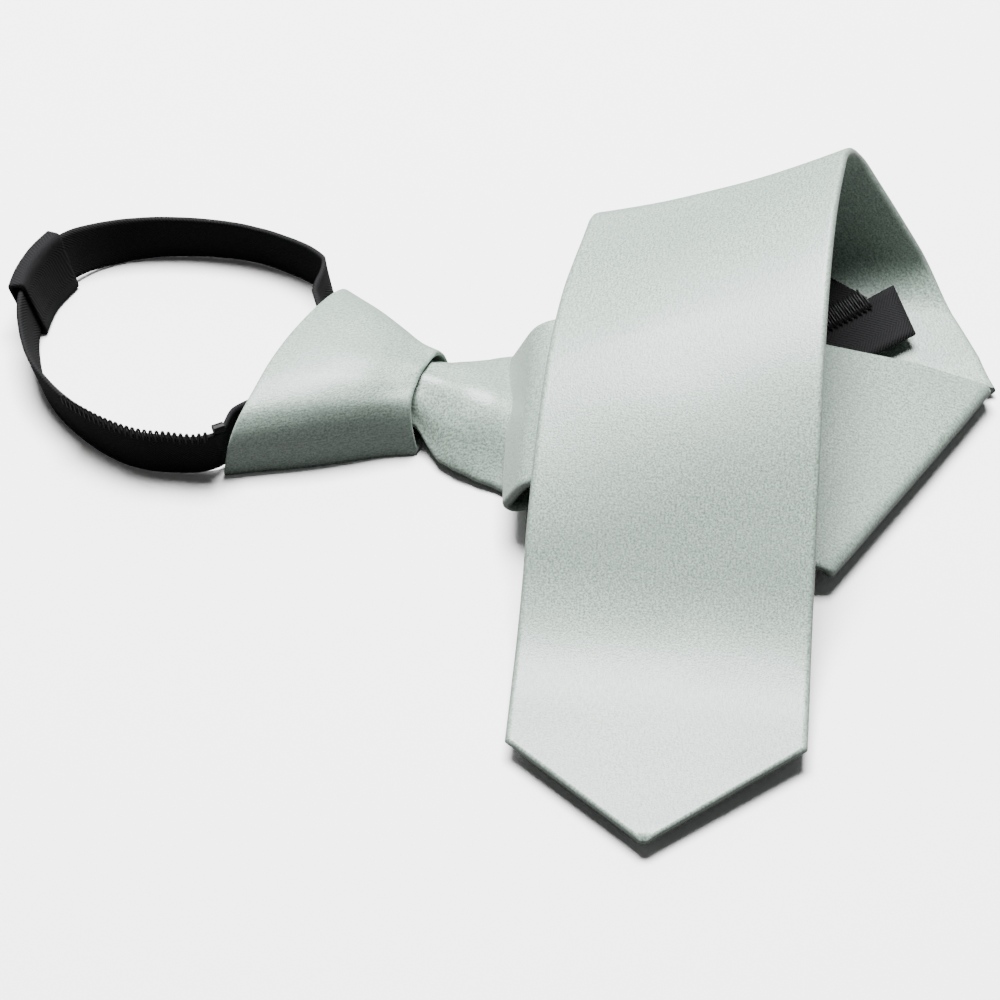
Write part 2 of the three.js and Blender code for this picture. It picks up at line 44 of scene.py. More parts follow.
# ---- sizes of the real thing, in millimetres --------------------------------
CENTRE = np.array([0.09, -7.47, 0.0])   # middle of the laid-out tie
CLOTH = 2.8                              # the padded blade as sewn, from face to back
PRESSED = 0.78                           # what is left of that where it has been ironed
SEAM_HIGH, SEAM_HALF, SEAM_STOPS = 0.55, 0.45, 46   # ridge of the back seam, and how far off the tip it ends
TAPE, TAPE_WIDTH = 1.0, 12.5             # a zip tape's thickness and width
PITCH = 1.27                             # from tooth to tooth of a size 3 coil
SEAT = 0.3                               # the slit between the tail's two tapes

START = dict(x=-12.2, y=20.7, z=9.0, heading=-14.5, pitch=-6.2)   # where the blade leaves the knot
FOLDS = [  # name, at along the strip, skew, turn (+ towards the face), radius
    ("droop", 6.4, -0.4, -9.7, 25), ("level", 21.4, 1.9, 20, 25),
    ("under_turn", 33.1, 9.8, 178.3, 1.7), ("back_fold", 49.8, 7.3, -113.3, 2.1),
    ("rise_over", 66.1, 3.3, -75, 7.4), ("arch", 98.8, -30, -13.4, 40),
    ("crease", 149, -29.5, -158.7, 1.6), ("lift", 180.7, 16, -18.4, 25),
    ("roll_a", 213.6, 30, -66.9, 10.1), ("roll_b", 238.2, 6.3, -50.6, 9.8),
    ("roll_c", 248.9, 11.7, -38.6, 8.1), ("slope", 297.6, 21.3, -46.9, 80),
    ("settle", 361.5, -2, 36.9, 48),
]
WIDTHS = [  # at, width
    (-8, 21), (-4, 22.6), (-1, 25.8), (2, 31), (6, 36), (12, 40.5), (20, 43.2), (60, 43.3), (148, 59.8),
    (231, 56.5), (371, 60.8),
]
# where the knot gathers the strip: its curl in degrees, how far it is drawn aside, how far its
# near edge hangs down and spreads out, and how far its middle puffs up
CURLS = [  # at, curl, shift, hang, spread, puff
    (-8, 150, -2.6, 0, 0, 0), (-4, 154, -2.6, 2, 0.4, 0), (-2.4, 153, -2.5, 3.4, 0.9, 0),
    (-1, 152, -2.4, 4.1, 1.5, 0), (2, 136, -2, 3.9, 1.2, 0.4), (6, 108, -1.7, 3.2, -0.6, 1.8),
    (10, 82, -1.9, 3, -2, 3.4), (15, 54, -2.2, 2.6, -2.8, 4.4), (21, 16, -2.2, 2.2, -2.8, 4.6),
    (26, 0, -2.2, 1.4, -1.8, 3.2), (30, 0, -2, 0.5, -0.7, 1.2), (34, 0, -1.8, 0, 0, 0),
    (50, 0, -0.4, 0, 0, 0), (62, 0, 1, 0, 0, 0), (74, 0, 0.8, 0, 0, 0), (92, 0, 0, 0, 0, 0),
]
# where the roll bows the strip the way that its face looks
BOWS = [  # at, bow of the left edge, middle and right edge, and how far the left edge is drawn out
    (150, 0, 0, 0, 0), (168, 1.2, 0.4, 0, 1.7), (186, 2.4, 0.6, 0, 4.4), (206, 2.8, 0.8, 0, 4.6),
    (222, 1.6, -0.6, -0.8, 2.6), (238, 0.2, -2.6, -1.8, 0.3), (252, -0.2, -3, -2.2, 0),
    (270, 0, -1.2, -0.8, 0), (292, 0, 0, 0, 0),
]
CORNER, LEAD = 383.6, 1.6                # where the point begins, and how far one corner leads the other
TIP_REACH, TIP_ASIDE, TIP_BLUNT = 23.8, 1.0, 1.2   # from the corners to the tip

# the knot's cross-section at six places, from its wide end to its narrow one
KNOT = [  # x, y, turn, half width, crown height, wall, the crown's lean back, the near wall's cut
    (-46.9, 31.8, 62.2, 28, 18.4, 1.3, 0, 2.3), (-40.6, 30, 63.5, 24.4, 19.4, 1.5, 0, 1.4),
    (-33.6, 28.1, 65, 20.8, 19.6, 1.6, 0, 0.6), (-26.6, 26.5, 66.8, 17, 18.6, 1.5, 0.3, 0.2),
    (-20.2, 25.2, 68.6, 13.7, 16.9, 1.3, 1.2, 0), (-14.2, 24.1, 70.2, 11.9, 15.5, 1.1, 2.4, 0),
]
CROWN = [  # across, up, how much of the near wall's cut
    (0, 0, 0), (0.004, 0.27, 0.28), (0.018, 0.51, 0.53), (0.052, 0.71, 0.72), (0.11, 0.86, 0.86),
    (0.21, 0.955, 0.8), (0.36, 1, 0.5), (0.52, 0.985, 0.35), (0.68, 0.93, 0.35), (0.83, 0.81, 0.35),
    (0.94, 0.6, 0.3), (1, 0, 0),
]

NEAR_TAPE = [  # x, y, foot off the table, lean of the upper edge outwards
    (-37, 18.8, 2.4, -6), (-44, 17.3, 2.2, -10), (-51, 15.1, 2, -11), (-56.6, 12.7, 1.7, -6),
    (-60.8, 9.1, 0.8, 7), (-65.6, 8.2, 0, 7), (-71, 8.2, 0, 4), (-76.5, 8.9, 0, 4), (-81.8, 11, 0, 4),
    (-87.6, 14.8, 0, 5), (-92.7, 19.5, 0, 7), (-97.4, 25.5, 0, 9), (-101.1, 32.4, 0, 12),
    (-103.2, 40.2, 0.2, 13), (-104, 47, 0.9, 14), (-103.5, 53, 1.3, 14.5), (-102.4, 57.7, 1.3, 14.5),
]
FAR_TAPE = [  # the same
    (-101.8, 59.3, 1.3, 14.5), (-99.8, 63.4, 1.3, 14.5), (-96.2, 67.8, 0.8, 12), (-91.2, 71.1, 0.1, 8),
    (-83.3, 74, 0, 1), (-74.1, 75.1, 0, -3), (-64.8, 74.6, 0, -5), (-55.4, 72.7, 0, -7), (-48.2, 69.4, 0, -6),
    (-42.6, 65.4, 0.3, -4), (-38.8, 61.2, 1, -5), (-37.1, 56.2, 1.7, -14), (-37.1, 50.2, 2.1, -21),
    (-36.2, 43, 2.4, -16), (-34, 34.6, 2.6, -6),
]
TAB = [  # the same, for the sleeve that joins the two tapes
    (-104, 49.8, 0, 14.5), (-103, 55.2, 0, 14.5), (-101.1, 60.2, 0, 14.5), (-98, 65.4, 0, 13.5),
]
TAB_HEIGHT, TAB_WALL, TAB_DEPTH, TAB_SHIFT = 15.5, 1.0, 4.7, 0.1
TAB_SQUARE = 0.32                        # how square its section is: 1 is round, 0 is a box
NEAR_COIL = (12.1 / 44, 27.5 / 44, 2.8)    # from, to along the tape, and how far past its edge
FAR_COIL = (6 / 44, 29.5 / 44, -1.8)
TAIL = [  # x, y, z, width across both halves, roll
    (-27.0, 21.5, 3.3, 11.0, 0), (-14.0, 21.2, 3.1, 11.0, 0), (-4.0, 19.6, 1.7, 13.0, 0),
    (6.0, 18.4, 0.9, 15.0, 0), (25.0, 20.0, 0.9, 16.0, 0), (37.5, 25.6, 5.4, 18.0, 8),
    (48.0, 31.2, 8.2, 22.0, 13), (60.0, 37.6, 9.0, 25.0, 15), (71.0, 42.5, 10.6, 24.0, 17),
    (81.8, 48.6, 12.4, 25.0, 20),
]
# for each half, how far its cut end runs on along the inside and the outside
TAIL_ENDS = {1: (6.8, 4.8), -1: (0.0, -7.0)}


# ---- camera: the photograph's angle ----------------------------------------------
CAMERA_AWAY, CAMERA_UP = 0.65, math.radians(49)
target = Vector((-CENTRE[0] * MM, -CENTRE[1] * MM, 0.0))
bpy.ops.object.camera_add(location=target + Vector((0, -CAMERA_AWAY * math.cos(CAMERA_UP),
                                                    CAMERA_AWAY * math.sin(CAMERA_UP))))
camera = bpy.context.object
camera.name = "camera"
camera.rotation_euler = (target - camera.location).to_track_quat("-Z", "Y").to_euler()
camera.data.lens, camera.data.sensor_width = 108.7, 36
bpy.context.scene.camera = camera


# ---- small helpers ---------------------------------------------------------------
def select_nothing():
    for o in bpy.context.selected_objects:
        o.select_set(False)


def between(rows, at, out):
    """A table's column, read at a place between its rows."""
    return float(np.interp(at, [r[0] for r in rows], [r[out] for r in rows]))


def new_piece(name, points, faces, flat=None, side=None):
    """A piece from points in millimetres. flat gives each point's place on the cloth as cut, in
    millimetres, and side runs from 1 on the cloth's face through 0 at its edge to -1 on its back."""
    mesh = bpy.data.meshes.new(name)
    mesh.from_pydata(((np.asarray(points, float).reshape(-1, 3) - CENTRE) * MM).tolist(), [], faces)
    mesh.update()
    piece = bpy.data.objects.new(name, mesh)
    bpy.context.collection.objects.link(piece)
    if flat is not None:
        uv = mesh.uv_layers.new(name="cloth")
        spots = np.asarray(flat, float).reshape(-1, 2) * MM
        loops = np.empty(len(mesh.loops), int)
        mesh.loops.foreach_get("vertex_index", loops)
        uv.data.foreach_set("uv", spots[loops].astype(np.float32).ravel())
    if side is not None:
        a = mesh.attributes.new("side", "FLOAT", "POINT")
        a.data.foreach_set("value", np.asarray(side, np.float32).ravel())
    face_outwards(piece)
    for p in mesh.polygons:
        p.use_smooth = True
    return piece


def cloth_strip(name, rings, flat, side=None):
    """A strip from rings of points round it, joined in order, with both ends closed."""
    m, n = np.shape(rings)[:2]
    faces = []
    for i in range(m - 1):
        for j in range(n):
            k = (j + 1) % n
            faces.append((i * n + j, i * n + k, (i + 1) * n + k, (i + 1) * n + j))
    for base, flip in ((0, False), ((m - 1) * n, True)):
        lo, hi = 0, n - 1
        while hi - lo > 1:
            q = [base + lo, base + hi, base + hi - 1, base + lo + 1] if hi - lo > 2 else \
                [base + lo, base + hi, base + lo + 1]
            faces.append(tuple(q[::-1] if flip else q))
            lo, hi = lo + 1, hi - 1
    return new_piece(name, rings, faces, flat, side)


def cloth_sleeve(name, rings, flat, side=None):
    """A sleeve with real walls: its rings run along the outside and back along the inside."""
    m, n = np.shape(rings)[:2]
    faces = []
    for i in range(m):
        b = (i + 1) % m
        for j in range(n):
            k = (j + 1) % n
            faces.append((i * n + j, i * n + k, b * n + k, b * n + j))
    return new_piece(name, rings, faces, flat, side)


def face_outwards(piece):
    select_nothing()
    piece.select_set(True)
    bpy.context.view_layer.objects.active = piece
    bpy.ops.object.mode_set(mode="EDIT")
    bpy.ops.mesh.select_all(action="SELECT")
    bpy.ops.mesh.normals_make_consistent(inside=False)
    bpy.ops.object.mode_set(mode="OBJECT")
    select_nothing()


def spline(rows, t, cols=3):
    """A point of the smooth curve through the rows, at t from 0 to 1."""
    pts = np.array([r[:cols] for r in rows], float)
    n = len(pts)
    x = min(max(t, 0.0), 1.0) * (n - 1)
    i = min(int(x), n - 2)
    w = x - i
    p1, p2 = pts[i], pts[i + 1]
    p0 = pts[i - 1] if i > 0 else 2 * p1 - p2
    p3 = pts[i + 2] if i + 2 < n else 2 * p2 - p1
    d0, d1, d2 = [max(np.linalg.norm(b - a), 1e-4) ** 0.5 for a, b in ((p0, p1), (p1, p2), (p2, p3))]
    t1 = ((p1 - p0) / d0 - (p2 - p0) / (d0 + d1) + (p2 - p1) / d1) * d1
    t2 = ((p2 - p1) / d1 - (p3 - p1) / (d1 + d2) + (p3 - p2) / d2) * d1
    return p1 + t1 * w + (3 * (p2 - p1) - 2 * t1 - t2) * w ** 2 + (2 * (p1 - p2) + t1 + t2) * w ** 3


def heading(rows, t):
    """The way that the curve through the rows runs, at t."""
    a, b = spline(rows, max(t - 1e-4, 0)), spline(rows, min(t + 1e-4, 1))
    return (b - a) / np.linalg.norm(b - a)


def sampled(rows, t, col):
    """A table's column, read at t from 0 to 1 along its rows."""
    x = min(max(t, 0.0), 1.0) * (len(rows) - 1)
    i = min(int(x), len(rows) - 2)
    return rows[i][col] * (1 - x + i) + rows[i + 1][col] * (x - i)


# ---- materials -------------------------------------------------------------------
def linear(code):
    """A colour from its sRGB hex value."""
    rgb = [int(code[i:i + 2], 16) / 255 for i in (1, 3, 5)]
    return tuple(c / 12.92 if c <= 0.04045 else ((c + 0.055) / 1.055) ** 2.4 for c in rgb) + (1.0,)


def add(tree, kind, inputs=(), **settings):
    """A node with its settings, its values and the sockets that feed it."""
    made = tree.nodes.new(kind)
    for key, value in settings.items():
        setattr(made, key, value)
    for key, value in dict(inputs).items():
        if isinstance(value, bpy.types.NodeSocket):
            tree.links.new(value, made.inputs[key])
        else:
            made.inputs[key].default_value = value
    return made


def new_material(name):
    made = bpy.data.materials.new(name)
    made.use_nodes = True
    made.node_tree.nodes.clear()
    return made, made.node_tree


def finish_material(tree, shader):
    out = tree.nodes.new("ShaderNodeOutputMaterial")
    tree.links.new(shader.outputs[0], out.inputs["Surface"])


def satin(name):
    """Polyester satin: a green-grey body under smooth floats that throw the light back
    white, with painted shade that darkens it where the edge turns under. Threads lie 0.25 mm apart, drawn at
    0.4 mm so that they show as a fine grain."""
    made, tree = new_material(name)
    uv = add(tree, "ShaderNodeUVMap", uv_map="cloth").outputs[0]
    threads = add(tree, "ShaderNodeVectorMath", {0: uv, 1: (1 / 0.00042, 1 / 0.00044, 1)},
                  operation="MULTIPLY").outputs[0]
    grain = add(tree, "ShaderNodeTexNoise",
                {"Vector": threads, "Scale": 1.0, "Detail": 2.0, "Roughness": 0.65},
                noise_dimensions="2D").outputs["Fac"]
    turned = add(tree, "ShaderNodeMapping", {"Vector": uv, "Rotation": (0, 0, math.radians(52)),
                                             "Scale": (1 / 0.00045, 1 / 0.0016, 1)}).outputs[0]
    twill = add(tree, "ShaderNodeTexNoise", {"Vector": turned, "Scale": 1.0, "Detail": 1.0},
                noise_dimensions="2D").outputs["Fac"]
    clouds = add(tree, "ShaderNodeTexNoise", {"Vector": uv, "Scale": 45.0, "Detail": 2.0},
                 noise_dimensions="2D").outputs["Fac"]
    both = add(tree, "ShaderNodeMath", {0: twill, 1: 0.35, 2: grain}, operation="MULTIPLY_ADD").outputs[0]
    tone = add(tree, "ShaderNodeMapRange", {"Value": both, "From Min": 0.47, "From Max": 0.89}).outputs[0]
    cloth = add(tree, "ShaderNodeMix", {"Factor": tone, "A": linear("#5A6A60"), "B": linear("#98A99D")},
                data_type="RGBA")
    shade = add(tree, "ShaderNodeMapRange", {"Value": clouds, "From Min": 0.3, "From Max": 0.7,
                                             "To Min": 0.0, "To Max": 0.3}).outputs[0]
    cloth = add(tree, "ShaderNodeMix",
                {"Factor": shade, "A": cloth.outputs["Result"], "B": linear("#7A8884")},
                data_type="RGBA")
    # painted shade: the cloth is mixed towards a dark grey-green on its rolled edges, where the edge turns
    # under
    side = add(tree, "ShaderNodeAttribute", attribute_name="side").outputs["Fac"]
    flat = add(tree, "ShaderNodeMath", {0: side}, operation="ABSOLUTE").outputs[0]
    edge = add(tree, "ShaderNodeMapRange", {"Value": flat, "From Min": 0.45, "From Max": 0.98,
                                            "To Min": 0.5, "To Max": 0.0}).outputs[0]
    cloth = add(tree, "ShaderNodeMix", {"Factor": edge, "A": cloth.outputs["Result"], "B": linear("#566259")},
                data_type="RGBA")
    rough = add(tree, "ShaderNodeMapRange", {"Value": grain, "From Min": 0.3, "From Max": 0.7,
                                             "To Min": 0.38, "To Max": 0.5}).outputs[0]
    bump = add(tree, "ShaderNodeBump", {"Height": both, "Strength": 0.5, "Distance": 0.00012})
    shader = add(tree, "ShaderNodeBsdfPrincipled", {
        "Base Color": cloth.outputs["Result"], "Roughness": rough, "Normal": bump.outputs[0], "IOR": 1.6,
        "Specular IOR Level": 0.55, "Sheen Weight": 0.16, "Sheen Roughness": 0.35})
    finish_material(tree, shader)
    return made


def woven_tape(name):
    """Zip tape: matt black polyester, woven in a herringbone of 0.8 mm ribs that turn back
    every 4.2 mm."""
    ribs, turn_back = 0.0008, 0.0042
    made, tree = new_material(name)
    uv = add(tree, "ShaderNodeUVMap", uv_map="cloth").outputs[0]
    parts = add(tree, "ShaderNodeSeparateXYZ", {0: uv})
    band = add(tree, "ShaderNodeMath", {0: parts.outputs[0], 1: turn_back}, operation="PINGPONG").outputs[0]
    slope = add(tree, "ShaderNodeMath", {0: parts.outputs[1], 1: band}, operation="ADD").outputs[0]
    phase = add(tree, "ShaderNodeMath", {0: slope, 1: 2 * math.pi / ribs}, operation="MULTIPLY").outputs[0]
    wave = add(tree, "ShaderNodeMath", {0: phase}, operation="SINE").outputs[0]
    fuzz = add(tree, "ShaderNodeTexNoise", {"Vector": uv, "Scale": 2600.0, "Detail": 2.0},
               noise_dimensions="2D").outputs["Fac"]
    height = add(tree, "ShaderNodeMath", {0: wave, 1: 0.35, 2: fuzz}, operation="MULTIPLY_ADD").outputs[0]
    tone = add(tree, "ShaderNodeMapRange", {"Value": height, "From Min": 0.0, "From Max": 1.0}).outputs[0]
    cloth = add(tree, "ShaderNodeMix", {"Factor": tone, "A": linear("#050506"), "B": linear("#141416")},
                data_type="RGBA")
    bump = add(tree, "ShaderNodeBump", {"Height": height, "Strength": 0.6, "Distance": 0.0002})
    shader = add(tree, "ShaderNodeBsdfPrincipled", {
        "Base Color": cloth.outputs["Result"], "Roughness": 0.85, "Normal": bump.outputs[0],
        "Specular IOR Level": 0.2})
    finish_material(tree, shader)
    return made


def nylon_coil():
    """Black nylon monofilament: dyed through, slightly glossy where it turns."""
    made, tree = new_material("black nylon coil")
    place = add(tree, "ShaderNodeTexCoord").outputs["Object"]
    speck = add(tree, "ShaderNodeTexNoise", {"Vector": place, "Scale": 900.0, "Detail": 2.0}).outputs["Fac"]
    rough = add(tree, "ShaderNodeMapRange", {"Value": speck, "To Min": 0.35, "To Max": 0.6}).outputs[0]
    tone = add(tree, "ShaderNodeMix", {"Factor": speck, "A": linear("#060607"), "B": linear("#121213")},
               data_type="RGBA")
    shader = add(tree, "ShaderNodeBsdfPrincipled", {"Base Color": tone.outputs["Result"], "Roughness": rough,
                                                    "Specular IOR Level": 0.3})
    finish_material(tree, shader)
    return made


def black_enamel():
    """Enamelled zinc: smooth black paint over a cast slider, with a faint orange peel."""
    made, tree = new_material("black enamelled zinc")
    place = add(tree, "ShaderNodeTexCoord").outputs["Object"]
    peel = add(tree, "ShaderNodeTexNoise", {"Vector": place, "Scale": 1500.0, "Detail": 1.0}).outputs["Fac"]
    rough = add(tree, "ShaderNodeMapRange", {"Value": peel, "To Min": 0.4, "To Max": 0.55}).outputs[0]
    bump = add(tree, "ShaderNodeBump", {"Height": peel, "Strength": 0.2, "Distance": 0.00005})
    shader = add(tree, "ShaderNodeBsdfPrincipled", {
        "Base Color": linear("#040405"), "Roughness": rough, "Normal": bump.outputs[0],
        "Specular IOR Level": 0.12})
    finish_material(tree, shader)
    return made


SATIN = satin("silver-green polyester satin")
TAPE_CLOTH = woven_tape("black woven zip tape")
COIL_NYLON = nylon_coil()
ENAMEL = black_enamel()


# ---- the blade: a padded strip laid by its folds ---------------------------------------
def half_width(s):
    return between(WIDTHS, s, 1) / 2


def line_across(at, skew):
    k = math.tan(math.radians(skew))
    ends = []
    for side in (-1, 1):
        v = side * half_width(at)
        for _ in range(6):
            v = side * half_width(at + v * k)
        ends.append((at + v * k, v))
    return ends


def lay_plan():
    """The frames of each flat stretch and fold, in the order that the strip runs."""
    h, p = math.radians(START["heading"]), math.radians(START["pitch"])
    H = np.array([math.cos(h) * math.cos(p), math.sin(h) * math.cos(p), math.sin(p)])
    W = np.array([math.sin(h), -math.cos(h), 0.0])
    N = np.cross(W, H)
    O = np.array([START["x"], START["y"], START["z"]], float)
    plan = []
    for name, at, skew, turn, r in FOLDS:
        k, th, sg = math.radians(skew), abs(math.radians(turn)), math.copysign(1, turn)
        E, A = H * math.cos(k) - W * math.sin(k), H * math.sin(k) + W * math.cos(k)
        L = r * th
        plan.append(dict(O=O, H=H, W=W, N=N, E=E, A=A, at=at, k=k, r=r, L=L, sg=sg))
        end = O + H * at + E * (r * math.sin(th) - L / 2) + N * sg * r * (1 - math.cos(th))
        E2 = E * math.cos(th) + N * sg * math.sin(th)
        N = N * math.cos(th) - E * sg * math.sin(th)
        H, W = E2 * math.cos(k) + A * math.sin(k), A * math.cos(k) - E2 * math.sin(k)
        O = end - E2 * (L / 2) - H * at
    return plan, dict(O=O, H=H, W=W, N=N)


PLAN, LAST = lay_plan()


def lay(s, v):
    """Where points of the flat pattern come to lie, and which way their face looks."""
    place, face = np.zeros(s.shape + (3,)), np.zeros(s.shape + (3,))
    todo = np.ones(s.shape, bool)
    for f in PLAN:
        q = (s - f["at"]) * math.cos(f["k"]) - v * math.sin(f["k"])
        c = (s - f["at"]) * math.sin(f["k"]) + v * math.cos(f["k"])
        flat = todo & (q < -f["L"] / 2)
        place[flat] = f["O"] + np.outer(s[flat], f["H"]) + np.outer(v[flat], f["W"])
        face[flat] = f["N"]
        bent = todo & ~flat & (q <= f["L"] / 2)
        phi = (q[bent] + f["L"] / 2) / f["r"]
        place[bent] = (f["O"] + f["H"] * f["at"] + np.outer(c[bent], f["A"])
                       + np.outer(f["r"] * np.sin(phi) - f["L"] / 2, f["E"])
                       + np.outer(f["sg"] * f["r"] * (1 - np.cos(phi)), f["N"]))
        face[bent] = np.outer(np.cos(phi), f["N"]) - np.outer(f["sg"] * np.sin(phi), f["E"])
        todo &= ~flat & ~bent
    place[todo] = LAST["O"] + np.outer(s[todo], LAST["H"]) + np.outer(v[todo], LAST["W"])
    face[todo] = LAST["N"]
    return place, face


def pattern_lines():
    """Lines across the pattern, closer together where it bends."""
    lines = []

    def run(a, b, count):
        for i in range(1 if lines else 0, count + 1):
            t = i / count
            row = []
            for side, (p, q) in enumerate(zip(a, b)):
                s = p[0] * (1 - t) + q[0] * t
                row.append((s, (1 if side else -1) * half_width(s)))
            lines.append(row)
    last = line_across(-8, 0)
    for name, at, skew, turn, r in FOLDS:
        k, th = math.radians(skew), abs(math.radians(turn))
        half = r * th / 2 / math.cos(k)
        first, after = line_across(at - half, skew), line_across(at + half, skew)
        gap = max(abs(first[0][0] - last[0][0]), abs(first[1][0] - last[1][0]))
        run(last, first, max(2, math.ceil(gap / (1.0 if at < 22 else 2.0))))
        steps = max(math.ceil(abs(turn) / 9), math.ceil(2 * half / 2.0))
        for i in range(1, steps + 1):
            lines.append(line_across(at - half + 2 * half * i / steps, skew))
        last = after
    left, right = (CORNER - LEAD, -half_width(CORNER)), (CORNER + LEAD, half_width(CORNER))
    run(last, (left, right), 4)
    tip = (CORNER + TIP_REACH, TIP_ASIDE)
    end = 1 - TIP_BLUNT / half_width(CORNER)
    for i in range(1, 15):
        t = end * i / 14
        lines.append([tuple(e[a] * (1 - t) + tip[a] * t for a in (0, 1)) for e in (left, right)])
    return lines


# columns across the strip, as shares of its half width, closer at the back seam and edges
COLUMNS = np.array([-1, -0.985, -0.955, -0.90, -0.80, -0.68, -0.56, -0.44, -0.32, -0.2, -0.1, -0.045, -0.016,
                    0.0, 0.016, 0.045, 0.1, 0.2, 0.32, 0.44, 0.56, 0.68, 0.80, 0.90, 0.955, 0.985, 1])
EDGE_ARC = np.radians([60, 30, 0, -30, -60])


def soft_wave(s, v):
    """The blade's slight unevenness, and the gathers that spread from the knot."""
    out = np.zeros(s.shape)
    for i in np.ndindex(s.shape):
        a, b = s[i], v[i]
        calm = (0.20 * noise.noise(Vector((a / 26, b / 17, 3.1)))
                + 0.10 * noise.noise(Vector((a / 9, b / 11, 7.7))))
        fade = max(0.0, 1 - max(a, 0) / 34) ** 1.3
        stray = 2.2 * noise.noise(Vector((a / 14, b / 8, 1.3)))
        gather = fade * (0.22 * math.sin(b / (0.9 + a * 0.035) + stray)
                         + 0.18 * noise.noise(Vector((a / 9, b / 3.4, 5.0))))
        out[i] = calm + gather
    return out


def gather_and_bow(lines, width, inner, place, face):
    """Moves the laid strip: curled round its middle line by the knot, bowed in the roll."""
    ends, _ = lay(lines[:, :, 0], lines[:, :, 1])
    middle = ends.mean(axis=1)
    across = ends[:, 1] - ends[:, 0]
    across /= np.linalg.norm(across, axis=1)[:, None]
    at = lines[:, :, 0].mean(axis=1)
    for i in range(len(lines)):
        curl, aside, hang, spread, puff = [between(CURLS, at[i], k) for k in range(1, 6)]
        left, mid, right, drawn = [between(BOWS, at[i], k) for k in range(1, 5)]
        x = inner[i] * 2 - 1                               # from -1 at the left edge to 1 at the right
        near = np.clip((x - 0.1) / 0.9, 0, 1) ** 1.5       # the share of the near edge's hang
        more = np.outer(near * spread, across[i])
        more[:, 2] += puff * np.exp(-((x - 0.25) / 0.45) ** 2) * (1 - x * x) - near * hang
        curl = math.radians(curl)
        if curl < 0.02:
            bow = mid + x * (right - left) / 2 + x * x * ((left + right) / 2 - mid)
            pull = aside - drawn * np.maximum(0, -x) ** 2
            place[i] += np.outer(pull, across[i]) + face[i] * bow[:, None] + more
            continue
        r = width[i] / curl
        a = (inner[i] - 0.5) * curl
        lift = r * np.cos(a) - r + r * (1 - math.cos(curl / 2)) / 2
        n = face[i].mean(axis=0)
        n /= np.linalg.norm(n)
        place[i] = middle[i] + np.outer(aside + r * np.sin(a), across[i]) + np.outer(lift, n) + more
        face[i] = np.outer(np.cos(a), n) + np.outer(np.sin(a), across[i])


def make_blade():
    lines = np.array(pattern_lines())                       # line, end, (s, v)
    left, right = lines[:, 0], lines[:, 1]
    width = np.linalg.norm(right - left, axis=1)
    edge = np.minimum(CLOTH / 2, width * 0.3)
    share = (COLUMNS + 1) / 2
    inner = (edge / width)[:, None] + (1 - 2 * edge / width)[:, None] * share[None, :]
    s = left[:, 0:1] * (1 - inner) + right[:, 0:1] * inner
    v = left[:, 1:2] * (1 - inner) + right[:, 1:2] * inner
    place, face = lay(s, v)
    gather_and_bow(lines, width, inner, place, face)
    outwards = np.gradient(place, axis=1)
    outwards /= np.linalg.norm(outwards, axis=2)[..., None]
    wave = soft_wave(s, v)
    thick = np.minimum(CLOTH / 2, edge[:, None]) * PRESSED
    at = lines[:, :, 0].mean(axis=1)
    seam = SEAM_HIGH * np.exp(-(v / SEAM_HALF) ** 2) * (at < CORNER - SEAM_STOPS)[:, None]
    rings, flats, sides = [], [], []
    for i in range(len(lines)):
        front = place[i] + face[i] * (thick[i] + wave[i])[:, None]
        back = place[i] - face[i] * (thick[i] - wave[i] - seam[i])[:, None]
        arcs = [[place[i, end] + way * outwards[i, end] * math.cos(a) * thick[i, end]
                 + face[i, end] * (math.sin(a) * thick[i, end] + wave[i, end]) for a in turn]
                for end, way, turn in ((-1, 1, EDGE_ARC), (0, -1, EDGE_ARC[::-1]))]
        rings.append(np.vstack([front, arcs[0], back[::-1], arcs[1]]))
        fr = [(v[i, j], s[i, j]) for j in range(len(share))]
        flats.append(fr + [(v[i, -1] + 0.4 * (j + 1), s[i, -1]) for j in range(5)] + fr[::-1]
                     + [(v[i, 0] - 0.4 * (5 - j), s[i, 0]) for j in range(5)])
        sides.append([1.0] * len(share) + list(np.sin(EDGE_ARC)) + [-1.0] * len(share)
                     + list(np.sin(EDGE_ARC[::-1])))
    blade = cloth_strip("satin_blade", rings, flats, sides)
    blade.data.materials.append(SATIN)
    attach(blade, "root")
    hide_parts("blade")
    return blade


